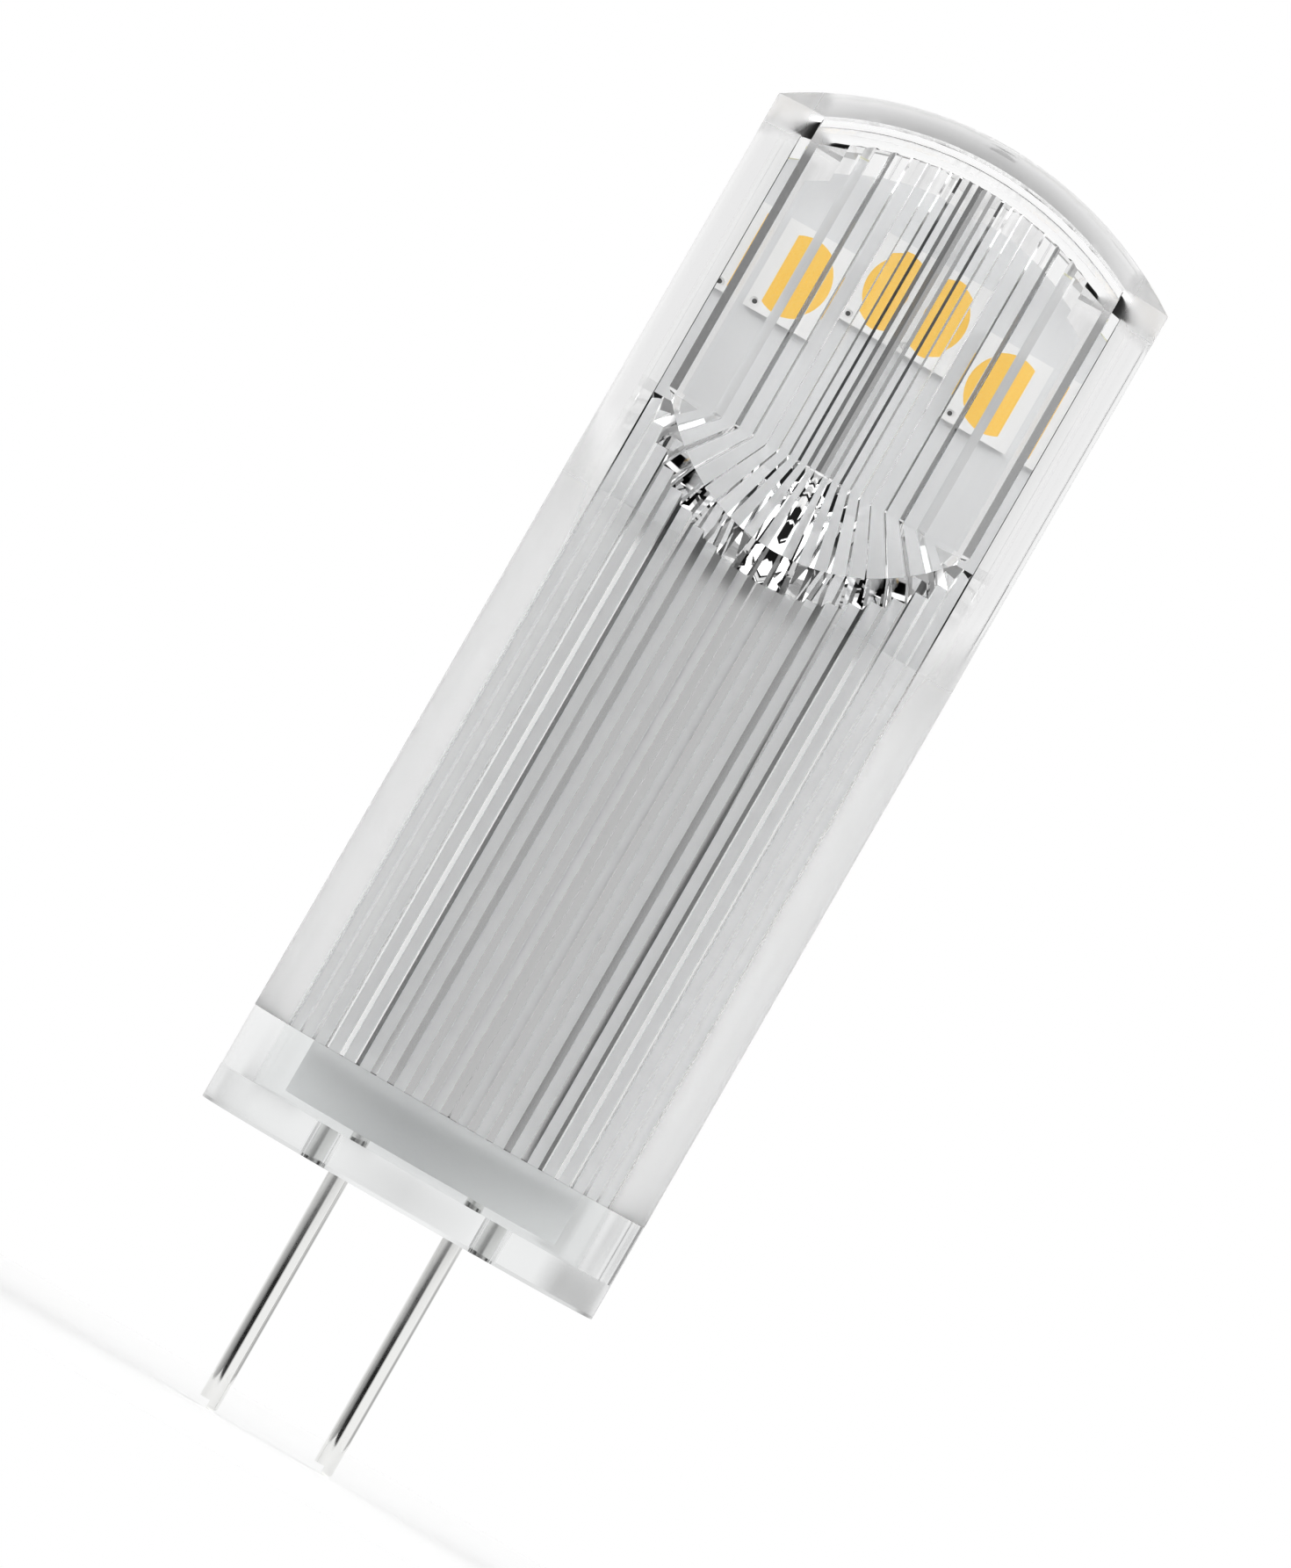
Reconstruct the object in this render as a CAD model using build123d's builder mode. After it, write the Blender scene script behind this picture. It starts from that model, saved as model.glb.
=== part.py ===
from build123d import *
from math import cos, radians, sin, sqrt, tan
import os

# Two-pin LED capsule lamp. Millimetres, +Z towards the domed end.
# The origin is at the middle of the base's lower face, between the pins, which stand in a row along X.
# The lamp's front looks along -Y.

os.makedirs("parts", exist_ok=True)

# Driving dimensions of the capsule
body_radius = 6.8
base_height = 3.2
base_floor = 1.15
base_wall = 1.1
cover_shoulder_height = 35.0
dome_radius = 12.2
dome_wall = 1.06

# Flat window at the front and at the back, and the slope below it
window_distance = 4.35
window_wall = 0.96
window_bend_height = 25.62
slope_angle = 41.5

# V flutes inside the cover, over its front and back, with smooth walls at the sides
flute_count = 64
flute_wall = 0.35
flute_width = 0.62
arc_flutes_each_side = 10
side_wall = 0.67
window_flutes_each_side = 9
edge_flute_slow_angle = 20
edge_flute_steep_angle = 45
edge_flute_steep_width = 0.35
edge_flute_overhang = 0.09
edge_flute_drop = 0.2

# Two-pin contacts
pin_spacing = 4.0
pin_diameter = 0.7
pin_shank_diameter = 0.6
pin_reach = 8.15
pin_tip_step = 0.27
pin_clearance = 0.03
pin_overlap_on_board = 2.0

# White sleeve round the driver
sleeve_side_gap = 1.0
sleeve_wall = 0.6
sleeve_floor = 0.8
sleeve_lift = 0.25
sleeve_top_height = 21.9

# Circuit board
board_thickness = 0.8
board_side_gap = 0.74
board_dome_gap = 1.31
tail_side_clearance = 0.2
tail_end_gap = 0.7

# LED packages and their phosphor fills
led_size = 3.0
led_height = 0.35
phosphor_diameter = 2.6
phosphor_depth = 0.25
phosphor_taper = 30
polarity_dot_diameter = 0.26
polarity_dot_depth = 0.08
polarity_dot_inset = 0.25
led_side_margin = 0.27
led_edge_distance = 3.2

# Solder joints over the pins
solder_width = 1.6
solder_height = 2.6
solder_thickness = 0.45
solder_slope = 40

# Driver components: length along X, width along Z, height off the board
rectifier_length = 4.6
rectifier_width = 3.8
rectifier_height = 1.7
ic_length = 3.0
ic_width = 2.9
ic_height = 1.2
diode_length = 4.2
diode_width = 2.6
diode_height = 2.0
lead_width = 0.6
lead_thickness = 0.2
lead_reach = 0.7
body_edge_chamfer = 0.25
inductor_diameter = 4.2
inductor_height = 2.6
inductor_flange = 0.6
inductor_waist_diameter = 2.6
input_capacitor_length = 3.5
input_capacitor_width = 2.8
input_capacitor_height = 1.9
output_capacitor_length = 3.2
output_capacitor_width = 1.6
output_capacitor_height = 1.4
sense_resistor_length = 2.0
sense_resistor_width = 1.25
sense_resistor_height = 0.5
feedback_resistor_length = 1.6
feedback_resistor_width = 0.8
feedback_resistor_height = 0.45
winding_recess = 0.25
chip_edge_chamfer = 0.1
component_gap = 0.8

# Capsule values that follow from the driving dimensions
dome_centre_height = cover_shoulder_height - sqrt(dome_radius**2 - body_radius**2)
dome_top_height = dome_centre_height + dome_radius
inner_dome_radius = dome_radius - dome_wall
slope_run = tan(radians(slope_angle))
slope_foot_height = window_bend_height - (body_radius - window_distance) / slope_run
cut_margin = 1.0

# Flute values: each flute is a radial blade of air with a square V tip
flute_pitch = 360 / flute_count
flute_half_width = flute_width / 2
valley_radius = body_radius - flute_wall
half_pitch = radians(flute_pitch / 2)
ridge_radius = valley_radius / (cos(half_pitch) + sin(half_pitch))
window_valley = window_distance - window_wall
window_corner = sqrt(body_radius**2 - window_distance**2)
inner_bend_height = window_bend_height - window_wall * tan(radians(slope_angle / 2))
slope_spread = (body_radius + cut_margin) / (window_valley - flute_half_width)
inner_foot_height = inner_bend_height - window_valley * (slope_spread - 1) / slope_run

# Sleeve and board values
sleeve_radius = body_radius - base_wall - sleeve_side_gap
sleeve_inner_radius = sleeve_radius - sleeve_wall
sleeve_bottom = base_floor + sleeve_lift
board_face = board_thickness / 2
board_half_width = sqrt(ridge_radius**2 - board_face**2) - board_side_gap
board_arc_radius = inner_dome_radius - board_dome_gap
tail_half_width = sqrt(sleeve_inner_radius**2 - board_face**2) - tail_side_clearance
tail_bottom = sleeve_bottom + sleeve_floor + tail_end_gap
pin_hole_radius = pin_shank_diameter / 2 + pin_clearance
pin_top = tail_bottom + pin_overlap_on_board
solder_z = pin_top - pin_overlap_on_board / 2

# The LEDs stand on an arc about the dome's centre, the outer two in from the board's sides
led_arc_radius = board_arc_radius - led_edge_distance
led_outer_offset = board_half_width - led_side_margin - led_size / 2
led_outer_height = dome_centre_height + sqrt(led_arc_radius**2 - led_outer_offset**2)
led_centre_height = dome_centre_height + led_arc_radius

# Heights of the driver components up the tail, each one gap above the one below
rectifier_z = solder_z + solder_height / 2 + component_gap + rectifier_width / 2
inductor_z = rectifier_z + rectifier_width / 2 + component_gap + inductor_diameter / 2
ic_z = inductor_z + inductor_diameter / 2 + component_gap + ic_width / 2
input_capacitor_z = solder_z + solder_height / 2 + component_gap + input_capacitor_width / 2
diode_z = input_capacitor_z + input_capacitor_width / 2 + component_gap + diode_width / 2
output_capacitor_z = diode_z + diode_width / 2 + component_gap + output_capacitor_width / 2
sense_resistor_z = (
    output_capacitor_z + output_capacitor_width / 2 + component_gap + sense_resistor_width / 2
)
feedback_resistor_z = (
    sense_resistor_z + sense_resistor_width / 2 + component_gap + feedback_resistor_width / 2
)


def front_plane(x, z):
    """Board's front face at x, z, with its normal towards the viewer."""
    return Plane(origin=(x, -board_face, z), x_dir=(1, 0, 0), z_dir=(0, -1, 0))


def back_plane(x, z):
    """Board's back face at x, z, with its normal away from the viewer."""
    return Plane(origin=(x, board_face, z), x_dir=(-1, 0, 0), z_dir=(0, 1, 0))


def write(piece, name):
    """Label a finished piece and write it as its own file."""
    piece.part.label = name
    export_step(piece.part, f"parts/{name}.step")


def flute_arc():
    """Outline of the cavity's fluted front: from the axis out to a ridge and a valley for each flute."""
    points = [(0, 0)]
    for flute in range(-arc_flutes_each_side, arc_flutes_each_side + 1):
        valley_angle = radians(flute * flute_pitch)
        ridge_angle = valley_angle - half_pitch
        points.append((ridge_radius * sin(ridge_angle), ridge_radius * cos(ridge_angle)))
        points.append((valley_radius * sin(valley_angle), valley_radius * cos(valley_angle)))
    end_angle = radians(arc_flutes_each_side * flute_pitch) + half_pitch
    points.append((ridge_radius * sin(end_angle), ridge_radius * cos(end_angle)))
    return points


def window_flute(flute):
    """Outline of one radial blade whose V tip touches the plane of the window's valleys."""
    angle = radians(flute * flute_pitch)
    outward = Vector(sin(angle), cos(angle))
    across = Vector(cos(angle), -sin(angle))
    tip = outward * (window_valley / cos(angle))
    shoulder = tip - outward * flute_half_width
    root = outward * flute_half_width
    left = across * flute_half_width
    return [tip, shoulder + left, root + left, root - left, shoulder - left]


def edge_flute():
    """Outline of the wide flute at a window's edge: a slow face, then a steep face at the corner."""
    start = window_valley * tan(radians(window_flutes_each_side * flute_pitch))
    steep_end = window_corner + edge_flute_overhang
    steep_start = steep_end - edge_flute_steep_width
    floor = window_valley - edge_flute_drop
    bend = floor + edge_flute_steep_width * tan(radians(edge_flute_steep_angle))
    crest = bend + (steep_start - start) * tan(radians(edge_flute_slow_angle))
    outside = body_radius + cut_margin
    return [
        (start - flute_width, window_valley - flute_width),
        (start, window_valley),
        (start, crest),
        (steep_start, bend),
        (steep_end, floor),
        (outside, floor),
        (outside, 0),
        (start - flute_width, 0),
    ]


def capsule_half(floor_height, top_radius):
    """Half section of a domed capsule, from a floor up to a dome of the given radius."""
    with BuildSketch() as half:
        with Locations((0, dome_centre_height)):
            Circle(top_radius)
        wall_height = dome_top_height - floor_height
        with Locations((body_radius / 2, floor_height + wall_height / 2)):
            Rectangle(body_radius, wall_height, mode=Mode.INTERSECT)
        with Locations((body_radius / 2, (floor_height + dome_centre_height) / 2)):
            Rectangle(body_radius, dome_centre_height - floor_height)
    return half.sketch


# Section of the cavity behind the flat windows
with BuildSketch(Plane.XY.offset(inner_bend_height)) as window_section:
    Rectangle(2 * (body_radius + cut_margin), 2 * (window_valley - flute_width))
    for flute in range(-window_flutes_each_side, window_flutes_each_side + 1):
        blade = window_flute(flute)
        Polygon(*[(point.X, point.Y) for point in blade], align=None)
        Polygon(*[(point.X, -point.Y) for point in blade], align=None)
    for side in (-1, 1):
        Polygon(*[(side * x, y) for x, y in edge_flute()], align=None)
        Polygon(*[(side * x, -y) for x, y in edge_flute()], align=None)

with BuildSketch(Plane.XY.offset(inner_foot_height)) as foot_section:
    add(window_section.sketch_local)
    scale(by=slope_spread)

# Flat and sloped walls of the cavity, as one tapering core
with BuildPart() as window_core:
    extrude(window_section.sketch, amount=dome_top_height - inner_bend_height)
    loft(sections=[foot_section.sketch.face(), window_section.sketch.face()], ruled=True)
    extrude(foot_section.sketch, amount=base_height - cut_margin - inner_foot_height)

# Whole cavity: round, fluted at the front and back, held within the window core and under the inner dome
with BuildPart() as cavity:
    with BuildSketch(Plane.XY.offset(base_height - cut_margin)):
        Circle(body_radius - side_wall)
        Polygon(*flute_arc(), align=None)
        Polygon(*[(x, -y) for x, y in flute_arc()], align=None)
    extrude(amount=dome_top_height - base_height + cut_margin)
    add(window_core.part, mode=Mode.INTERSECT)
    with BuildSketch(Plane.XZ):
        add(capsule_half(base_height - cut_margin, inner_dome_radius))
    revolve(axis=Axis.Z, mode=Mode.INTERSECT)

# Clear cover: domed capsule, cut by the two windows and hollowed by the cavity
with BuildPart() as clear_cover:
    with BuildSketch(Plane.XZ):
        add(capsule_half(base_height, dome_radius))
    revolve(axis=Axis.Z)
    with BuildSketch(Plane.YZ):
        with BuildLine():
            Polyline(
                (window_distance, dome_top_height + cut_margin),
                (window_distance, window_bend_height),
                (body_radius + cut_margin, slope_foot_height - cut_margin / slope_run),
                (body_radius + cut_margin, dome_top_height + cut_margin),
                close=True,
            )
        make_face()
        mirror(about=Plane.YZ)
    extrude(amount=body_radius, both=True, mode=Mode.SUBTRACT)
    add(cavity.part, mode=Mode.SUBTRACT)

write(clear_cover, "clear_cover")

# Base plug: clear cup with a solid floor, bored for the two pins
with BuildPart() as base_plug:
    Cylinder(body_radius, base_height, align=(Align.CENTER, Align.CENTER, Align.MIN))
    with BuildSketch(Plane.XY.offset(base_floor)):
        Circle(body_radius - base_wall)
    extrude(amount=base_height - base_floor, mode=Mode.SUBTRACT)
    with BuildSketch():
        with GridLocations(pin_spacing, 0, 2, 1):
            Circle(pin_hole_radius)
    extrude(amount=base_floor, mode=Mode.SUBTRACT)

write(base_plug, "base_plug")

# Contact pins: round wire with a thinner shank in the base, and half of the tip sheared a step short
for side, name in ((-1, "contact_pin_left"), (1, "contact_pin_right")):
    pin_x = side * pin_spacing / 2
    with BuildPart() as contact_pin:
        with BuildSketch(Plane.XY.offset(-pin_reach)):
            with Locations((pin_x, 0)):
                Circle(pin_diameter / 2)
        extrude(amount=pin_reach)
        chamfer(contact_pin.edges().sort_by(Axis.Z)[0], length=pin_diameter / 6)
        with BuildSketch(Plane.XY.offset(-pin_reach)):
            with Locations((pin_x - pin_diameter / 2, 0)):
                Rectangle(pin_diameter, pin_diameter)
        extrude(amount=pin_tip_step, mode=Mode.SUBTRACT)
        with BuildSketch():
            with Locations((pin_x, 0)):
                Circle(pin_shank_diameter / 2)
        extrude(amount=pin_top)
    write(contact_pin, name)

# Driver sleeve: white tube with a floor that the pins pass through
with BuildPart() as driver_sleeve:
    with BuildSketch(Plane.XY.offset(sleeve_bottom)):
        Circle(sleeve_radius)
    extrude(amount=sleeve_top_height - sleeve_bottom)
    with BuildSketch(Plane.XY.offset(sleeve_bottom + sleeve_floor)):
        Circle(sleeve_inner_radius)
    extrude(amount=sleeve_top_height - sleeve_bottom - sleeve_floor, mode=Mode.SUBTRACT)
    with BuildSketch(Plane.XY.offset(sleeve_bottom)):
        with GridLocations(pin_spacing, 0, 2, 1):
            Circle(pin_hole_radius)
    extrude(amount=sleeve_floor, mode=Mode.SUBTRACT)

write(driver_sleeve, "driver_sleeve")

# Lamp board: arched head on shoulders that rest on the sleeve, and a tail slotted for the pins
with BuildPart() as lamp_board:
    with BuildSketch(Plane.XZ):
        with Locations((0, dome_centre_height)):
            Circle(board_arc_radius)
        head_height = dome_top_height - sleeve_top_height
        with Locations((0, sleeve_top_height + head_height / 2)):
            Rectangle(2 * board_half_width, head_height, mode=Mode.INTERSECT)
        with Locations((0, (tail_bottom + sleeve_top_height) / 2)):
            Rectangle(2 * tail_half_width, sleeve_top_height - tail_bottom)
        with Locations((0, (tail_bottom + pin_top) / 2)):
            with GridLocations(pin_spacing, 0, 2, 1):
                Rectangle(2 * pin_hole_radius, pin_top - tail_bottom, mode=Mode.SUBTRACT)
    extrude(amount=board_thickness / 2, both=True)

write(lamp_board, "lamp_board")

# Solder joints: rounded caps on the board's front, over the pins in their slots
for side, name in ((-1, "solder_joint_left"), (1, "solder_joint_right")):
    with BuildPart() as solder_joint:
        with BuildSketch(front_plane(side * pin_spacing / 2, solder_z)):
            SlotOverall(solder_height, solder_width, rotation=90)
        extrude(amount=solder_thickness, taper=solder_slope)
    write(solder_joint, name)

# LED packages with round phosphor fills, three on an arc on each face of the board
led_places = (
    ("left", -led_outer_offset, led_outer_height),
    ("centre", 0, led_centre_height),
    ("right", led_outer_offset, led_outer_height),
)
for face_name, face_plane in (("front", front_plane), ("back", back_plane)):
    for place_name, x, z in led_places:
        seat = face_plane(x, z)
        with BuildPart() as led_body:
            with BuildSketch(seat):
                Rectangle(led_size, led_size)
            extrude(amount=led_height)
            with BuildSketch(seat.offset(led_height)):
                Circle(phosphor_diameter / 2)
            extrude(amount=-phosphor_depth, taper=phosphor_taper, mode=Mode.SUBTRACT)
            dot_offset = led_size / 2 - polarity_dot_inset
            with BuildSketch(seat.offset(led_height)):
                with Locations((-dot_offset, -dot_offset)):
                    Circle(polarity_dot_diameter / 2)
            extrude(amount=-polarity_dot_depth, mode=Mode.SUBTRACT)
        write(led_body, f"led_body_{face_name}_{place_name}")

        with BuildPart() as phosphor:
            with BuildSketch(seat.offset(led_height)):
                Circle(phosphor_diameter / 2)
            extrude(amount=-phosphor_depth, taper=phosphor_taper)
        write(phosphor, f"phosphor_{face_name}_{place_name}")

# Leaded driver components: moulded bodies with flat leads on both sides
rectifier_size = (rectifier_length, rectifier_width, rectifier_height)
ic_size = (ic_length, ic_width, ic_height)
diode_size = (diode_length, diode_width, diode_height)
for name, seat, size, leads in (
    ("bridge_rectifier", front_plane(0, rectifier_z), rectifier_size, 2),
    ("driver_ic", front_plane(0, ic_z), ic_size, 3),
    ("freewheel_diode", back_plane(0, diode_z), diode_size, 1),
):
    length, width, height = size
    with BuildPart() as leaded_body:
        with BuildSketch(seat):
            Rectangle(length, width)
        extrude(amount=height)
        top_face = leaded_body.faces().sort_by(Axis(seat.origin, seat.z_dir))[-1]
        chamfer(top_face.edges(), length=body_edge_chamfer)
        with BuildSketch(seat):
            with GridLocations(length + lead_reach, width / leads, 2, leads):
                Rectangle(lead_reach, lead_width)
        extrude(amount=lead_thickness)
    write(leaded_body, name)

# Power inductor: ferrite drum with a copper winding round its waist
inductor_seat = front_plane(0, inductor_z)
waist_height = inductor_height - 2 * inductor_flange
with BuildPart() as power_inductor:
    with BuildSketch(inductor_seat, inductor_seat.offset(inductor_height - inductor_flange)):
        Circle(inductor_diameter / 2)
    extrude(amount=inductor_flange)
    with BuildSketch(inductor_seat.offset(inductor_flange)):
        Circle(inductor_waist_diameter / 2)
    extrude(amount=waist_height)

write(power_inductor, "power_inductor")

with BuildPart() as inductor_winding:
    with BuildSketch(inductor_seat.offset(inductor_flange)):
        Circle(inductor_diameter / 2 - winding_recess)
        Circle(inductor_waist_diameter / 2, mode=Mode.SUBTRACT)
    extrude(amount=waist_height)

write(inductor_winding, "inductor_winding")

# Chip components: small blocks with softened edges
input_capacitor_size = (input_capacitor_length, input_capacitor_width, input_capacitor_height)
output_capacitor_size = (output_capacitor_length, output_capacitor_width, output_capacitor_height)
sense_resistor_size = (sense_resistor_length, sense_resistor_width, sense_resistor_height)
feedback_resistor_size = (feedback_resistor_length, feedback_resistor_width, feedback_resistor_height)
for name, z, size in (
    ("input_capacitor", input_capacitor_z, input_capacitor_size),
    ("output_capacitor", output_capacitor_z, output_capacitor_size),
    ("sense_resistor", sense_resistor_z, sense_resistor_size),
    ("feedback_resistor", feedback_resistor_z, feedback_resistor_size),
):
    seat = back_plane(0, z)
    length, width, height = size
    with BuildPart() as chip:
        with BuildSketch(seat):
            Rectangle(length, width)
        extrude(amount=height)
        top_face = chip.faces().sort_by(Axis(seat.origin, seat.z_dir))[-1]
        chamfer(top_face.edges(), length=chip_edge_chamfer)
    write(chip, name)
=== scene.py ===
# %% [markdown]
# # A two-pin LED capsule lamp
#
# This lesson dresses a finished CAD model. The shapes, their places and their sizes come from the CAD
# frame in metres, so nothing here is moved or fitted. What is left to make is what the eye reads as
# real: clear moulded acrylic, tinned wire, white plastics, warm phosphor and the studio round the lamp.

# %% Load the frame
import math

import bmesh
import bpy
from mathutils import Matrix, Vector


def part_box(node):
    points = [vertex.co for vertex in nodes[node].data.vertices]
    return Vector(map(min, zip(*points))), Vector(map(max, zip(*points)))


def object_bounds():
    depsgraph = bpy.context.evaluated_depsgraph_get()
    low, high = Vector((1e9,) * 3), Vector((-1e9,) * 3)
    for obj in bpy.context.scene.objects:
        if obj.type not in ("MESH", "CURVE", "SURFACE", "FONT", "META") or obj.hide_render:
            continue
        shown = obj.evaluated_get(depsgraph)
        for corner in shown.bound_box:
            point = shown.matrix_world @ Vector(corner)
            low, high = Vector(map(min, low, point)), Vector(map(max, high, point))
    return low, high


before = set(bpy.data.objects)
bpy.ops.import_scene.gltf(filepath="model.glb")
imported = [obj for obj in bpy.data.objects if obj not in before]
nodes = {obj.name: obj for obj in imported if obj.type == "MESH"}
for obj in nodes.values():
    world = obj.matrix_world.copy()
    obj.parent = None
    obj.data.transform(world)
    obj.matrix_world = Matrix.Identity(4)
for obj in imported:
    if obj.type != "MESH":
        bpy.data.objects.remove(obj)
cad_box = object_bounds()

print("CAD nodes:", len(nodes))
print("CAD box:", cad_box)

# %% [markdown]
# ## Small helpers
#
# Colours are written the way a colour picker shows them, as sRGB hex values, and one function turns them
# to the linear light that Blender calculates with. Sizes of patterns are written in millimetres, and two
# functions turn them to texture scales. One more function adds a shader node with its settings and links,
# so that a material reads as a list of what it is made of.

# %% Helpers for colours, sizes and nodes
MM = 0.001
WAVE_RADIANS = 20


def linear(hex_colour):
    """sRGB hex to the linear RGBA that sockets take."""
    channels = [int(hex_colour[i:i + 2], 16) / 255 for i in (1, 3, 5)]
    return tuple(c / 12.92 if c <= 0.04045 else ((c + 0.055) / 1.055) ** 2.4 for c in channels) + (1.0,)


def per_metre(pattern_mm):
    """Noise or cell texture scale that repeats a pattern at the given size in millimetres."""
    return 1 / (pattern_mm * MM)


def bands_per_metre(band_mm):
    """Wave texture scale for one band in the given millimetres. At scale 1 it turns 20 radians a metre."""
    return 2 * math.pi / WAVE_RADIANS / (band_mm * MM)


def add(tree, kind, values=None, **settings):
    """Add one node: settings are its properties, values fill or link its sockets."""
    node = tree.nodes.new("ShaderNode" + kind)
    for name, value in settings.items():
        setattr(node, name, value)
    for socket, value in (values or {}).items():
        if isinstance(value, bpy.types.NodeSocket):
            tree.links.new(value, node.inputs[socket])
        else:
            node.inputs[socket].default_value = value
    return node


def new_material(name):
    """An empty node material, ready for its nodes, and the place on the object that its patterns use."""
    material = bpy.data.materials.new(name)
    material.use_nodes = True
    tree = material.node_tree
    tree.nodes.clear()
    return material, tree, add(tree, "TexCoord").outputs["Object"]


def finish_surface(tree, shader):
    """Join a shader to the material's output."""
    add(tree, "OutputMaterial", {"Surface": shader.outputs[0]})


def dress(material, *names):
    """Give CAD nodes a better finish through their own material slots."""
    for name in names:
        for slot in nodes[name].material_slots:
            slot.material = material
    print(material.name, "->", ", ".join(names))


# %% [markdown]
# ## Clear acrylic cover
#
# The cover is moulded from clear acrylic. Almost all that the eye sees on it is refraction: each V flute
# inside throws the board, the sleeve or the studio aside, so the shape does the drawing and the surface
# has to stay clean. A painted pattern would fight that. Two traces of the mould are left. The flow of the
# melt makes some stretches a shade less polished, so a slow noise drives the roughness. And the smooth
# side walls have an even, milky tone low down and at the shoulders, as a satin wall in the mould gives,
# while beside the window they stay clear. Ramps over the distance from the middle and over the height
# find those places, so one material serves the whole piece.

# %% Clear acrylic, injection moulded: glass-clear, with a faint change of polish and satin side walls
ACRYLIC_IOR = 1.49
COVER_FLOW = 9.0
SATIN = 0.5
# Where the satin sets in: across from the middle, fading out upwards, and again at the shoulders.
SATIN_ACROSS = (5.25 * MM, 5.9 * MM)
SATIN_LOW = (19.0 * MM, 25.0 * MM)
SATIN_SHOULDER = (33.6 * MM, 34.4 * MM)
acrylic, tree, place = new_material("clear_acrylic_injection_moulded")
flow = add(tree, "TexNoise", {"Vector": place, "Scale": per_metre(COVER_FLOW), "Detail": 2.0})
polish = add(tree, "MapRange", {"Value": flow.outputs["Fac"], "To Min": 0.0, "To Max": 0.02})
either_side = add(tree, "VectorMath", {0: place}, operation="ABSOLUTE")
sides = add(tree, "SeparateXYZ", {0: either_side.outputs[0]})
across = add(tree, "MapRange", {
    "Value": sides.outputs["X"], "From Min": SATIN_ACROSS[0], "From Max": SATIN_ACROSS[1],
})
low_down = add(tree, "MapRange", {
    "Value": sides.outputs["Z"], "From Min": SATIN_LOW[0], "From Max": SATIN_LOW[1],
    "To Min": 1.0, "To Max": 0.0,
}, interpolation_type="SMOOTHSTEP")
shoulder = add(tree, "MapRange", {
    "Value": sides.outputs["Z"], "From Min": SATIN_SHOULDER[0], "From Max": SATIN_SHOULDER[1],
})
satin = add(tree, "Math", {0: low_down.outputs[0], 1: shoulder.outputs[0]}, operation="MAXIMUM")
satin = add(tree, "Math", {0: across.outputs[0], 1: satin.outputs[0]}, operation="MULTIPLY")
roughness = add(tree, "MapRange", {"Value": satin.outputs[0], "To Min": polish.outputs[0], "To Max": SATIN})
shader = add(tree, "BsdfPrincipled", {
    "Base Color": linear("#FFFFFF"), "Roughness": roughness.outputs[0], "IOR": ACRYLIC_IOR,
    "Transmission Weight": 1.0,
})
finish_surface(tree, shader)
dress(acrylic, "clear_cover")

# %% [markdown]
# ## Clear acrylic base
#
# The base is the same acrylic in a thick piece. Light crosses more of it, so it looks a shade greyer, and
# thick mouldings cool slowly, which leaves shorter ripples of polish. A volume could give the grey, but a
# slight tint on the surface does the same on a piece of this size and renders without noise.

# %% Clear acrylic, thick moulded: clear with a grey cast and a soft ripple in its gloss
BASE_FLOW = 4.0
thick_acrylic, tree, place = new_material("clear_acrylic_thick_moulded")
flow = add(tree, "TexNoise", {"Vector": place, "Scale": per_metre(BASE_FLOW), "Detail": 2.0})
polish = add(tree, "MapRange", {"Value": flow.outputs["Fac"], "To Min": 0.0, "To Max": 0.04})
shader = add(tree, "BsdfPrincipled", {
    "Base Color": linear("#F4F5F5"), "Roughness": polish.outputs[0], "IOR": ACRYLIC_IOR,
    "Transmission Weight": 1.0,
})
finish_surface(tree, shader)
dress(thick_acrylic, "base_plug")

# %% [markdown]
# ## Tinned wire pins
#
# The pins are copper wire, drawn through a die and dipped in tin. Drawing leaves hair lines along the wire
# and the tin flows over them in slightly uneven patches. A noise that is stretched along the wire gives
# the lines to the bump, and a second, rounder noise gives the patches to colour and roughness.

# %% Tinned copper wire, drawn and dipped: bright, with soft streaks along its length
# Die lines are a few hundredths of a millimetre apart, drawn coarser here so that they show.
DIE_LINE = 0.09
LINE_STRETCH = 0.04
TIN_PATCH = 0.8
tinned, tree, place = new_material("tinned_copper_wire_drawn")
stretched = add(tree, "Mapping", {"Vector": place, "Scale": (1.0, 1.0, LINE_STRETCH)})
lines = add(tree, "TexNoise", {"Vector": stretched.outputs[0], "Scale": per_metre(DIE_LINE), "Detail": 3.0})
patches = add(tree, "TexNoise", {"Vector": place, "Scale": per_metre(TIN_PATCH), "Detail": 2.0})
polish = add(tree, "MapRange", {"Value": patches.outputs["Fac"], "To Min": 0.02, "To Max": 0.05})
tone = add(tree, "Mix", {
    "Factor": patches.outputs["Fac"], "A": linear("#ECECEA"), "B": linear("#F6F6F5"),
}, data_type="RGBA")
relief = add(tree, "Bump", {"Height": lines.outputs["Fac"], "Strength": 0.025, "Distance": 0.01 * MM})
shader = add(tree, "BsdfPrincipled", {
    "Base Color": tone.outputs["Result"], "Metallic": 1.0, "Roughness": polish.outputs[0],
    "Normal": relief.outputs[0],
})
finish_surface(tree, shader)
dress(tinned, "contact_pin_left", "contact_pin_right")
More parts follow.
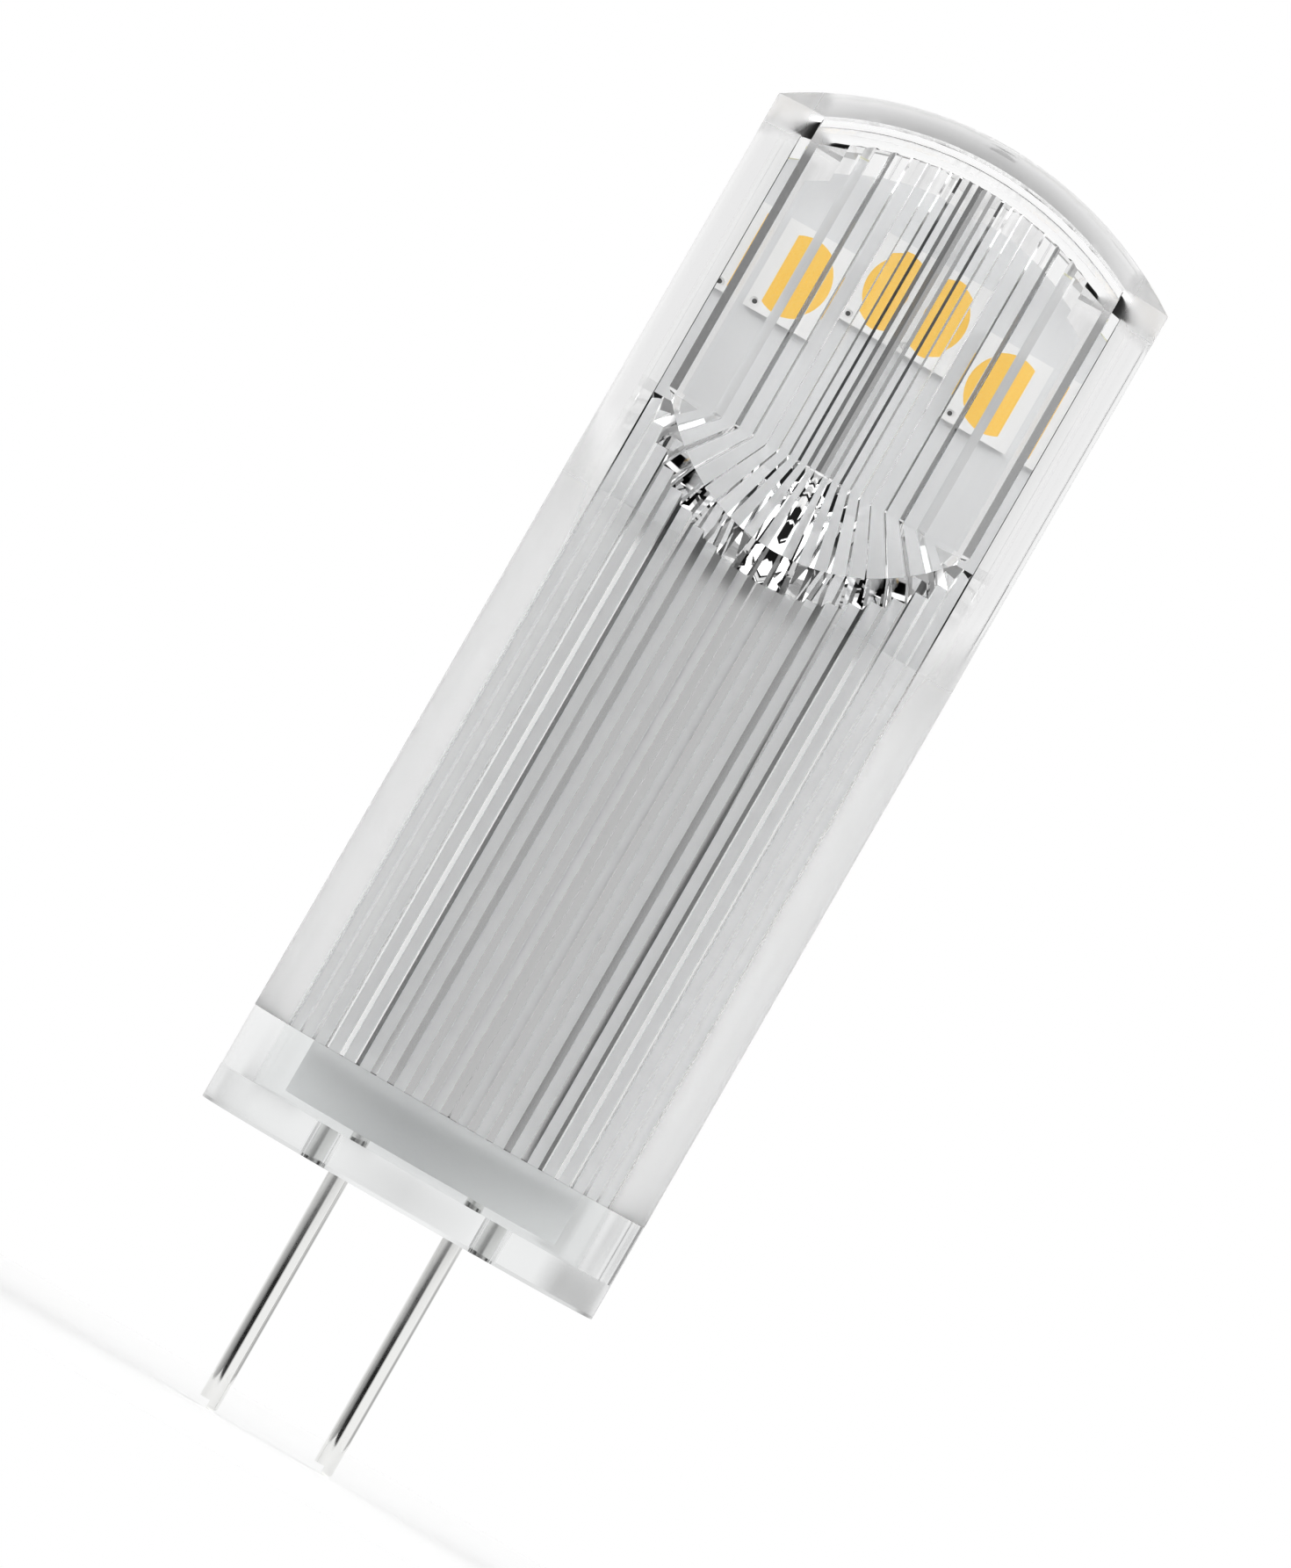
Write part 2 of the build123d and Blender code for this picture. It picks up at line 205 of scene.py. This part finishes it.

# %% [markdown]
# ## White sleeve
#
# The sleeve that hides the driver is moulded from white PBT. Its mould is spark-eroded, which prints a
# fine, even grain and kills the gloss. The grain goes into the bump, and a wide, faint noise keeps the
# white from being one flat value, as thin and thick stretches of a moulding let different amounts of
# light through. Its colour is written as a light grey rather than white: that is painted shade, for the
# dim light that reaches it inside the cover.

# %% White PBT, moulded against a spark-eroded wall: even, matt and slightly cool, greyed by painted shade
ERODED_GRAIN = 0.16
WALL_CLOUD = 5.0
sleeve, tree, place = new_material("white_pbt_greyed_by_painted_shade")
grain = add(tree, "TexNoise", {"Vector": place, "Scale": per_metre(ERODED_GRAIN), "Detail": 3.0})
cloud = add(tree, "TexNoise", {"Vector": place, "Scale": per_metre(WALL_CLOUD), "Detail": 1.0})
# Both greys are painted shade: white PBT is written darker for the dim light inside the cover.
tone = add(tree, "Mix", {
    "Factor": cloud.outputs["Fac"], "A": linear("#BEBFC0"), "B": linear("#C5C6C6"),
}, data_type="RGBA")
sheen = add(tree, "MapRange", {"Value": grain.outputs["Fac"], "To Min": 0.45, "To Max": 0.62})
relief = add(tree, "Bump", {"Height": grain.outputs["Fac"], "Strength": 0.25, "Distance": 0.02 * MM})
shader = add(tree, "BsdfPrincipled", {
    "Base Color": tone.outputs["Result"], "Roughness": sheen.outputs[0], "IOR": 1.55,
    "Normal": relief.outputs[0],
})
finish_surface(tree, shader)
dress(sleeve, "driver_sleeve")

# %% [markdown]
# ## Circuit board
#
# The board is glass-epoxy laminate, screened white on both faces. The mask lies over a woven glass cloth,
# whose threads show through as a faint grid. The cut edge has no mask: there the pale yellow-green
# laminate shows its plies. One material serves both, because the surface's own direction tells a face
# from a cut edge.

# %% White solder mask on glass-epoxy laminate: satin white with a trace of weave, bare edges in plies
THREAD = 0.45
PLY = 0.2
MASK_SPECK = 0.12
FACE_LIMIT = 0.5
mask, tree, place = new_material("white_solder_mask_screened")
facing = add(tree, "SeparateXYZ", {0: add(tree, "NewGeometry").outputs["Normal"]})
across_face = add(tree, "Math", {0: facing.outputs["Y"]}, operation="ABSOLUTE")
is_face = add(tree, "Math", {0: across_face.outputs[0], 1: FACE_LIMIT}, operation="GREATER_THAN")
warp = add(tree, "TexWave", {"Vector": place, "Scale": bands_per_metre(THREAD), "Distortion": 0.6},
           bands_direction="X")
weft = add(tree, "TexWave", {"Vector": place, "Scale": bands_per_metre(THREAD), "Distortion": 0.6},
           bands_direction="Z")
weave = add(tree, "Math", {0: warp.outputs["Fac"], 1: weft.outputs["Fac"]}, operation="MULTIPLY")
plies = add(tree, "TexWave", {"Vector": place, "Scale": bands_per_metre(PLY), "Distortion": 1.5},
            bands_direction="Y")
specks = add(tree, "TexNoise", {"Vector": place, "Scale": per_metre(MASK_SPECK), "Detail": 2.0})
face_tone = add(tree, "Mix", {
    "Factor": specks.outputs["Fac"], "A": linear("#DDDEDF"), "B": linear("#E3E4E5"),
}, data_type="RGBA")
edge_tone = add(tree, "Mix", {
    "Factor": plies.outputs["Fac"], "A": linear("#C9C8A4"), "B": linear("#DEDDC6"),
}, data_type="RGBA")
tone = add(tree, "Mix", {
    "Factor": is_face.outputs[0], "A": edge_tone.outputs["Result"], "B": face_tone.outputs["Result"],
}, data_type="RGBA")
sheen = add(tree, "MapRange", {"Value": is_face.outputs[0], "To Min": 0.75, "To Max": 0.42})
relief = add(tree, "Bump", {"Height": weave.outputs[0], "Strength": 0.06, "Distance": 0.02 * MM})
shader = add(tree, "BsdfPrincipled", {
    "Base Color": tone.outputs["Result"], "Roughness": sheen.outputs[0], "IOR": 1.5,
    "Normal": relief.outputs[0],
})
finish_surface(tree, shader)
dress(mask, "lamp_board")

# %% [markdown]
# ## LED packages
#
# Each LED sits in a square of white PPA, a filled nylon that is moulded round the lead frame. One corner
# has a small sunk dot that marks the polarity, and its floor is coloured dark grey. The dots' centres are
# found from each package's own box: near the lower corner, on the left as one looks at that face. Colour by
# distance from those centres then paints only the floors, and no extra mesh is needed.

# %% Centres of the polarity dots
DOT_INSET = 0.25 * MM
led_names = [f"{face}_{spot}" for face in ("front", "back") for spot in ("left", "centre", "right")]
dot_centres = []
for name in led_names:
    low, high = (Vector(corner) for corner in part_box(f"led_body_{name}"))
    on_front = name.startswith("front")
    dot_centres.append(Vector((
        low.x + DOT_INSET if on_front else high.x - DOT_INSET,
        low.y if on_front else high.y,
        low.z + DOT_INSET,
    )))
print("polarity dots:", [tuple(round(c / MM, 2) for c in centre) for centre in dot_centres[:3]])

# %% White PPA, moulded: chalky white with a fine glass-fibre grain, and a dark polarity dot
DOT_REACH = 0.11 * MM
FIBRE = 0.1
package, tree, place = new_material("white_ppa_moulded")
nearest = None
for centre in dot_centres:
    reach = add(tree, "VectorMath", {0: place, 1: tuple(centre)}, operation="DISTANCE").outputs["Value"]
    if nearest is not None:
        reach = add(tree, "Math", {0: nearest, 1: reach}, operation="MINIMUM").outputs[0]
    nearest = reach
in_dot = add(tree, "Math", {0: nearest, 1: DOT_REACH}, operation="LESS_THAN")
fibres = add(tree, "TexNoise", {"Vector": place, "Scale": per_metre(FIBRE), "Detail": 3.0})
white = add(tree, "Mix", {
    "Factor": fibres.outputs["Fac"], "A": linear("#EEEEEE"), "B": linear("#F5F5F4"),
}, data_type="RGBA")
tone = add(tree, "Mix", {
    "Factor": in_dot.outputs[0], "A": white.outputs["Result"], "B": linear("#454545"),
}, data_type="RGBA")
sheen = add(tree, "MapRange", {"Value": fibres.outputs["Fac"], "To Min": 0.4, "To Max": 0.55})
relief = add(tree, "Bump", {"Height": fibres.outputs["Fac"], "Strength": 0.15, "Distance": 0.01 * MM})
shader = add(tree, "BsdfPrincipled", {
    "Base Color": tone.outputs["Result"], "Roughness": sheen.outputs[0], "IOR": 1.55,
    "Normal": relief.outputs[0],
})
finish_surface(tree, shader)
dress(package, *[f"led_body_{name}" for name in led_names])

# %% [markdown]
# ## Phosphor fills
#
# The cup of each package is filled with silicone that carries phosphor powder, warm yellow when the lamp
# is off. It is dispensed as a drop, so the powder settles a little unevenly. Cells of a Voronoi pattern
# stand for the grains, and a wider noise for the settling. The silicone's skin is smooth with a soft gloss.
#
# Seen through the window, the outer discs end in a straight cut on their outer sides, where the cover
# bends their rims out of sight. The cover here does not hide all of the rim, so beyond a set distance from
# the middle the fill takes the white of the package. That is colour alone: the fill stays a full disc.

# %% Phosphor in silicone, dispensed: saturated warm yellow with fine grains under a smooth skin
FILL_EDGE = 4.25 * MM
# Phosphor grains are 0.01 to 0.02 mm, drawn coarser here so that they show.
PHOSPHOR_GRAIN = 0.07
SETTLING = 0.9
phosphor, tree, place = new_material("phosphor_silicone_dispensed")
grains = add(tree, "TexVoronoi", {"Vector": place, "Scale": per_metre(PHOSPHOR_GRAIN)})
settled = add(tree, "TexNoise", {"Vector": place, "Scale": per_metre(SETTLING), "Detail": 2.0})
ground = add(tree, "Mix", {
    "Factor": settled.outputs["Fac"], "A": linear("#FFC74C"), "B": linear("#FFCF5E"),
}, data_type="RGBA")
speckle = add(tree, "MapRange", {"Value": grains.outputs["Distance"], "From Max": 0.8, "To Max": 0.35})
yellow = add(tree, "Mix", {
    "Factor": speckle.outputs[0], "A": ground.outputs["Result"], "B": linear("#FFDB84"),
}, data_type="RGBA")
sideways = add(tree, "SeparateXYZ", {0: place})
from_middle = add(tree, "Math", {0: sideways.outputs["X"]}, operation="ABSOLUTE")
beyond = add(tree, "Math", {0: from_middle.outputs[0], 1: FILL_EDGE}, operation="GREATER_THAN")
tone = add(tree, "Mix", {
    "Factor": beyond.outputs[0], "A": yellow.outputs["Result"], "B": linear("#F1F1F0"),
}, data_type="RGBA")
relief = add(tree, "Bump", {"Height": settled.outputs["Fac"], "Strength": 0.2, "Distance": 0.03 * MM})
shader = add(tree, "BsdfPrincipled", {
    "Base Color": tone.outputs["Result"], "Roughness": 0.35, "IOR": 1.41, "Normal": relief.outputs[0],
})
finish_surface(tree, shader)
dress(phosphor, *[f"phosphor_{name}" for name in led_names])

# %% [markdown]
# ## Solder joints
#
# The pins are soldered to the board. Lead-free solder freezes with a slightly frosted skin, because
# crystals grow in it as it cools. A small Voronoi pattern, too fine to read as cells, breaks the gloss
# that way.

# %% Lead-free solder, reflowed: grey-white metal with a frosted, crystalline skin
CRYSTAL = 0.15
solder, tree, place = new_material("solder_reflowed")
crystals = add(tree, "TexVoronoi", {"Vector": place, "Scale": per_metre(CRYSTAL)})
frost = add(tree, "MapRange", {"Value": crystals.outputs["Distance"], "To Min": 0.2, "To Max": 0.42})
relief = add(tree, "Bump", {"Height": crystals.outputs["Distance"], "Strength": 0.2, "Distance": 0.01 * MM})
shader = add(tree, "BsdfPrincipled", {
    "Base Color": linear("#C9CACA"), "Metallic": 1.0, "Roughness": frost.outputs[0],
    "Normal": relief.outputs[0],
})
finish_surface(tree, shader)
dress(solder, "solder_joint_left", "solder_joint_right")

# %% [markdown]
# ## Driver components
#
# Inside the sleeve stand the driver's parts, seen only from above or when the lamp is opened. Each has a
# body and metal ends in one solid, so one function builds their materials: it compares the place along X
# with where the body ends, and shows the body's finish inside that and tinned metal beyond it.

# %% Bodies with tinned ends
LEAD_REACH = 0.7 * MM
CHIP_CAP = 0.35 * MM


def with_metal_ends(name, node_name, end_length, dark, light, grain_mm, roughness):
    """A moulded or fired body, mottled between two tones, with tinned ends of the given length."""
    body_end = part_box(node_name)[1][0] - end_length
    material, tree, place = new_material(name)
    along = add(tree, "SeparateXYZ", {0: place})
    from_middle = add(tree, "Math", {0: along.outputs["X"]}, operation="ABSOLUTE")
    is_end = add(tree, "Math", {0: from_middle.outputs[0], 1: body_end}, operation="GREATER_THAN")
    grain = add(tree, "TexNoise", {"Vector": place, "Scale": per_metre(grain_mm), "Detail": 3.0})
    body_tone = add(tree, "Mix", {
        "Factor": grain.outputs["Fac"], "A": linear(dark), "B": linear(light),
    }, data_type="RGBA")
    tone = add(tree, "Mix", {
        "Factor": is_end.outputs[0], "A": body_tone.outputs["Result"], "B": linear("#D4D4D2"),
    }, data_type="RGBA")
    polish = add(tree, "MapRange", {"Value": is_end.outputs[0], "To Min": roughness, "To Max": 0.28})
    relief = add(tree, "Bump", {"Height": grain.outputs["Fac"], "Strength": 0.2, "Distance": 0.01 * MM})
    shader = add(tree, "BsdfPrincipled", {
        "Base Color": tone.outputs["Result"], "Metallic": is_end.outputs[0],
        "Roughness": polish.outputs[0], "Normal": relief.outputs[0],
    })
    finish_surface(tree, shader)
    dress(material, node_name)


# %% Epoxy, ceramic and glaze: each has a dark tone, a light tone, a grain in millimetres and a roughness
# Moulded epoxy: black with a silica-filled, matt skin.
EPOXY = ("#1C1C1E", "#2A2A2C", 0.12, 0.6)
with_metal_ends("black_epoxy_rectifier", "bridge_rectifier", LEAD_REACH, *EPOXY)
with_metal_ends("black_epoxy_circuit", "driver_ic", LEAD_REACH, *EPOXY)
with_metal_ends("black_epoxy_diode", "freewheel_diode", LEAD_REACH, *EPOXY)
# Fired ceramic: smooth tan capacitor bodies.
CERAMIC = ("#A98B66", "#B99B74", 0.2, 0.45)
with_metal_ends("fired_ceramic_input", "input_capacitor", CHIP_CAP, *CERAMIC)
with_metal_ends("fired_ceramic_output", "output_capacitor", CHIP_CAP, *CERAMIC)
# Glazed resistor: black glass over white alumina.
GLAZE = ("#202226", "#2C2F33", 0.15, 0.3)
with_metal_ends("glazed_resistor_sense", "sense_resistor", CHIP_CAP, *GLAZE)
with_metal_ends("glazed_resistor_feedback", "feedback_resistor", CHIP_CAP, *GLAZE)

# %% [markdown]
# ## Inductor
#
# The drum is pressed and fired ferrite, dark grey with pores. Round its waist lies enamelled copper wire,
# turn beside turn. A wave along the drum's own axis, one band to a turn, gives the turns to the bump, and
# to the colour as painted shade: darker in the grooves between turns, lighter on their crests.

# %% Pressed ferrite: dull grey-black with fine pores
FERRITE_PORE = 0.1
ferrite, tree, place = new_material("ferrite_pressed")
pores = add(tree, "TexNoise", {"Vector": place, "Scale": per_metre(FERRITE_PORE), "Detail": 4.0})
tone = add(tree, "Mix", {
    "Factor": pores.outputs["Fac"], "A": linear("#2B2B2D"), "B": linear("#45454A"),
}, data_type="RGBA")
relief = add(tree, "Bump", {"Height": pores.outputs["Fac"], "Strength": 0.3, "Distance": 0.02 * MM})
shader = add(tree, "BsdfPrincipled", {
    "Base Color": tone.outputs["Result"], "Roughness": 0.7, "Normal": relief.outputs[0],
})
finish_surface(tree, shader)
dress(ferrite, "power_inductor")

# %% Enamelled copper wire, wound: amber-brown metal in close turns, with painted shade between them
WIRE_TURN = 0.14
winding, tree, place = new_material("copper_wire_enamelled")
wire_turns_and_painted_shade = add(tree, "TexWave", {"Vector": place, "Scale": bands_per_metre(WIRE_TURN)}, bands_direction="Y")
# Painted shade: the colour darkens into the grooves between turns and lightens on their crests.
tone = add(tree, "Mix", {
    "Factor": wire_turns_and_painted_shade.outputs["Fac"], "A": linear("#7A3A1C"), "B": linear("#C77B45"),
}, data_type="RGBA")
relief = add(tree, "Bump", {"Height": wire_turns_and_painted_shade.outputs["Fac"], "Strength": 0.6, "Distance": 0.05 * MM})
shader = add(tree, "BsdfPrincipled", {
    "Base Color": tone.outputs["Result"], "Metallic": 1.0, "Roughness": 0.3, "Normal": relief.outputs[0],
})
finish_surface(tree, shader)
dress(winding, "inductor_winding")

# %% [markdown]
# ## Camera
#
# The lamp is seen square to its window from far off, through a long lens, and it leans to the right in the
# picture. The lean is the camera's roll: the model stays upright in its own frame.

# %% Camera
ROLL = math.radians(29.92)
AIM_ACROSS = 0.13 * MM
AIM_HEIGHT = 14.86 * MM
DISTANCE = 1.0549
SENSOR_MM = 36.0
LENS_MM = 800.0
camera_data = bpy.data.cameras.new("camera")
camera_data.sensor_fit = "VERTICAL"
camera_data.sensor_height = SENSOR_MM
camera_data.lens = LENS_MM
camera_data.clip_start = 0.01
camera_data.clip_end = 50.0
camera = bpy.data.objects.new("camera", camera_data)
bpy.context.scene.collection.objects.link(camera)
right = Vector((math.cos(ROLL), 0, math.sin(ROLL)))
up = Vector((-math.sin(ROLL), 0, math.cos(ROLL)))
turn = Matrix((right, up, right.cross(up))).transposed()
camera.matrix_world = Matrix.Translation((AIM_ACROSS, -DISTANCE, AIM_HEIGHT)) @ turn.to_4x4()
bpy.context.scene.camera = camera
print("camera looks along", tuple(round(c, 3) for c in -right.cross(up)))

# %% [markdown]
# ## Floor
#
# The lamp stands on its pin tips on a plain white sheet of paper, matt with a little tooth. One square
# face is enough, as it only has to carry the soft shadow. The sheet is small on purpose: a wide one would
# be mirrored in the flutes and in the pins, and would wash out their lines.

# %% White paper, calendered: matt, with a faint tooth
FLOOR_HALF = 0.045
PAPER_TOOTH = 0.6
floor_height = min(corner[2] for corner in cad_box)
floor_mesh = bpy.data.meshes.new("paper_floor")
builder = bmesh.new()
builder.faces.new([
    builder.verts.new((x * FLOOR_HALF, y * FLOOR_HALF, floor_height))
    for x, y in ((-1, -1), (1, -1), (1, 1), (-1, 1))
])
builder.to_mesh(floor_mesh)
builder.free()
floor = bpy.data.objects.new("paper_floor", floor_mesh)
bpy.context.scene.collection.objects.link(floor)
paper, tree, place = new_material("white_paper_calendered")
tooth = add(tree, "TexNoise", {"Vector": place, "Scale": per_metre(PAPER_TOOTH), "Detail": 3.0})
tone = add(tree, "Mix", {
    "Factor": tooth.outputs["Fac"], "A": linear("#EDEDED"), "B": linear("#F1F1F1"),
}, data_type="RGBA")
shader = add(tree, "BsdfDiffuse", {"Color": tone.outputs["Result"]})
finish_surface(tree, shader)
floor_mesh.materials.append(paper)
print("floor at z =", round(floor_height / MM, 3), "mm")

# %% [markdown]
# ## Studio cards
#
# A clear lamp shows its surroundings more than itself, so the studio is part of its look. Grey cards stand
# round the lamp, white straight behind it. The flutes are upright, so they turn the view aside by fixed
# angles and keep its rise: each thin line in the cover is one card, and each height of the lamp sees its
# own row. Five rows do it, for the pins, the base's floor, the base, the fluted body and the window. A
# picture of a studio could do the same, but brightness by angle on a curve is easy to read and to change.

# %% Rows of cards
# Each card: degrees round from the camera, to the right positive, and its brightness.
PIN_CARDS = (
    (-180, 1.0), (-130, 0.9), (-100, 0.55), (-60, 0.3), (-44, 0.1), (-38, 0.01), (-7, 0.01), (0, 0.5),
    (10, 1.0), (90, 1.0), (100, 0.6), (125, 0.4), (150, 0.8), (180, 1.0),
)
BASE_FLOOR_CARDS = (
    (-180, 0.74), (-165, 0.96), (-149, 0.96), (-140, 0.4), (-110, 0.4), (-100, 0.9), (-60, 0.9),
    (-20, 0.5), (20, 0.5), (60, 0.9), (165, 0.96), (180, 0.74),
)
BASE_CARDS = (
    (-180, 1.0), (-172, 1.0), (-165, 0.92), (-60, 0.9), (-20, 0.5), (20, 0.5), (60, 0.6), (125, 0.86),
    (134, 0.86), (139, 0.55), (152, 0.55), (156, 0.85), (163, 0.85), (166, 0.55), (170, 0.55), (173, 1.0),
    (180, 1.0),
)
BODY_CARDS = (
    (-180, 1.0), (-120, 1.0), (-100, 0.9), (-79, 0.88), (-74, 0.4), (-59, 0.4), (-55, 0.44), (0, 0.5),
    (30, 0.5), (55, 0.42), (59, 0.03), (73, 0.03), (78, 0.8), (100, 0.86), (125, 0.94), (165, 0.94),
    (172, 1.0), (180, 1.0),
)
WINDOW_CARDS = (
    (-180, 1.0), (-172, 1.0), (-165, 0.82), (-125, 0.82), (-112, 0.21), (-102, 0.21), (-96, 0.06),
    (-84, 0.06), (-78, 0.4), (-72, 0.02), (-50, 0.02), (-44, 0.3), (-24, 0.2), (-15, 0.15), (0, 0.2),
    (12, 0.28), (24, 0.5), (44, 0.4), (50, 0.02), (72, 0.02), (78, 0.5), (96, 0.5), (102, 0.33),
    (112, 0.33), (118, 0.7), (132, 0.84), (165, 0.84), (172, 1.0), (180, 1.0),
)
# Each row above the pins' own: the rise of the view at which it begins, and its cards.
CARD_ROWS = (
    (-0.0142, BASE_FLOOR_CARDS), (-0.013, BASE_CARDS), (-0.011, BODY_CARDS), (0.006, WINDOW_CARDS),
)


def card_row(tree, place, cards):
    """Brightness round the studio for one row of cards."""
    row = add(tree, "FloatCurve", {"Value": place})
    points = row.mapping.curves[0].points
    while len(points) < len(cards):
        points.new(0.5, 0.5)
    for point, (degrees, brightness) in zip(points, cards):
        point.location = ((degrees + 180) / 360, brightness)
        point.handle_type = "VECTOR"
    row.mapping.update()
    return row.outputs[0]


world = bpy.data.worlds.new("studio")
bpy.context.scene.world = world
world.use_nodes = True
tree = world.node_tree
tree.nodes.clear()
axes = add(tree, "SeparateXYZ", {0: add(tree, "TexCoord").outputs["Generated"]})
ahead = add(tree, "Math", {0: axes.outputs["Y"], 1: -1.0}, operation="MULTIPLY")
round_angle = add(tree, "Math", {0: axes.outputs["X"], 1: ahead.outputs[0]}, operation="ARCTAN2")
card_place = add(tree, "MapRange", {
    "Value": round_angle.outputs[0], "From Min": -math.pi, "From Max": math.pi,
})
ring = card_row(tree, card_place.outputs[0], PIN_CARDS)
for rise, cards in CARD_ROWS:
    reached = add(tree, "Math", {0: axes.outputs["Z"], 1: rise}, operation="GREATER_THAN")
    row = card_row(tree, card_place.outputs[0], cards)
    ring = add(tree, "Mix", {"Factor": reached.outputs[0], "A": ring, "B": row}).outputs[0]
print("rows of cards:", 1 + len(CARD_ROWS))

# %% [markdown]
# ## Studio walls
#
# Above the cards are the walls, which light the board and the sleeve: bright in front, softer behind, and
# brightest at the two sides, so that the sleeve gets paler towards its edges. They fade out overhead,
# which keeps the paper from burning out, and below the lamp they have one even level. Lamps could light
# the board as well, but each would be mirrored in every flute. For the camera itself the world is plain
# white, so the background is white whatever stands round the lamp.

# %% Walls round the cards, and a white background
CARD_TOP = 0.12
CARD_FADE = 0.3
FRONT_LIGHT = 2.0
BACK_LIGHT = 0.9
FRONT_REACH = 0.4
FRONT_LEAN = 0.25
SIDE_LIGHT = 6.5
OVERHEAD = 0.2
OVERHEAD_FROM = 0.8
UNDER_LIGHT = 0.85
BACKGROUND = 1.0
walls = add(tree, "MapRange", {
    "Value": axes.outputs["Y"], "From Min": -FRONT_REACH, "From Max": FRONT_REACH,
    "To Min": FRONT_LIGHT, "To Max": BACK_LIGHT,
})
lean = add(tree, "MapRange", {
    "Value": axes.outputs["X"], "From Min": -1.0, "From Max": 1.0,
    "To Min": 1 - FRONT_LEAN, "To Max": 1 + FRONT_LEAN,
})
walls = add(tree, "Math", {0: walls.outputs[0], 1: lean.outputs[0]}, operation="MULTIPLY")
sideways = add(tree, "Math", {0: axes.outputs["X"], 1: axes.outputs["X"]}, operation="MULTIPLY")
walls = add(tree, "Math", {
    0: sideways.outputs[0], 1: SIDE_LIGHT, 2: walls.outputs[0],
}, operation="MULTIPLY_ADD")
overhead = add(tree, "MapRange", {
    "Value": axes.outputs["Z"], "From Max": OVERHEAD_FROM, "To Min": 1.0, "To Max": OVERHEAD,
})
walls = add(tree, "Math", {0: walls.outputs[0], 1: overhead.outputs[0]}, operation="MULTIPLY")
under = add(tree, "Math", {0: axes.outputs["Z"], 1: 0.0}, operation="LESS_THAN")
walls = add(tree, "Mix", {"Factor": under.outputs[0], "A": walls.outputs[0], "B": UNDER_LIGHT})
height = add(tree, "Math", {0: axes.outputs["Z"]}, operation="ABSOLUTE")
above_cards = add(tree, "MapRange", {
    "Value": height.outputs[0], "From Min": CARD_TOP, "From Max": CARD_FADE,
}, interpolation_type="SMOOTHSTEP")
level = add(tree, "Mix", {"Factor": above_cards.outputs[0], "A": ring, "B": walls.outputs[0]})
is_camera = add(tree, "LightPath").outputs["Is Camera Ray"]
level = add(tree, "Mix", {"Factor": is_camera, "A": level.outputs[0], "B": BACKGROUND})
light = add(tree, "Background", {"Color": linear("#FFFFFF"), "Strength": level.outputs[0]})
add(tree, "OutputWorld", {"Surface": light.outputs[0]})
print("walls: front", FRONT_LIGHT, "back", BACK_LIGHT, "sides", SIDE_LIGHT)

# %% [markdown]
# ## Light through clear plastic
#
# What is inside the cover is lit through the cover. Blender can blur light that has passed clear plastic
# after a matt surface, to save noise, but that also loses about half of it here, so the blur is switched
# off. Few bounces are kept: light that is caught in the flutes for longer fades out, and gives the dark
# dashes in the slope under the window.

# %% Light paths and view
LIGHT_BOUNCES = 8
scene = bpy.context.scene
scene.cycles.blur_glossy = 0.0
scene.cycles.max_bounces = LIGHT_BOUNCES
scene.cycles.transmission_bounces = LIGHT_BOUNCES
scene.cycles.glossy_bounces = LIGHT_BOUNCES
scene.view_settings.view_transform = "Standard"
print("bounces:", LIGHT_BOUNCES)
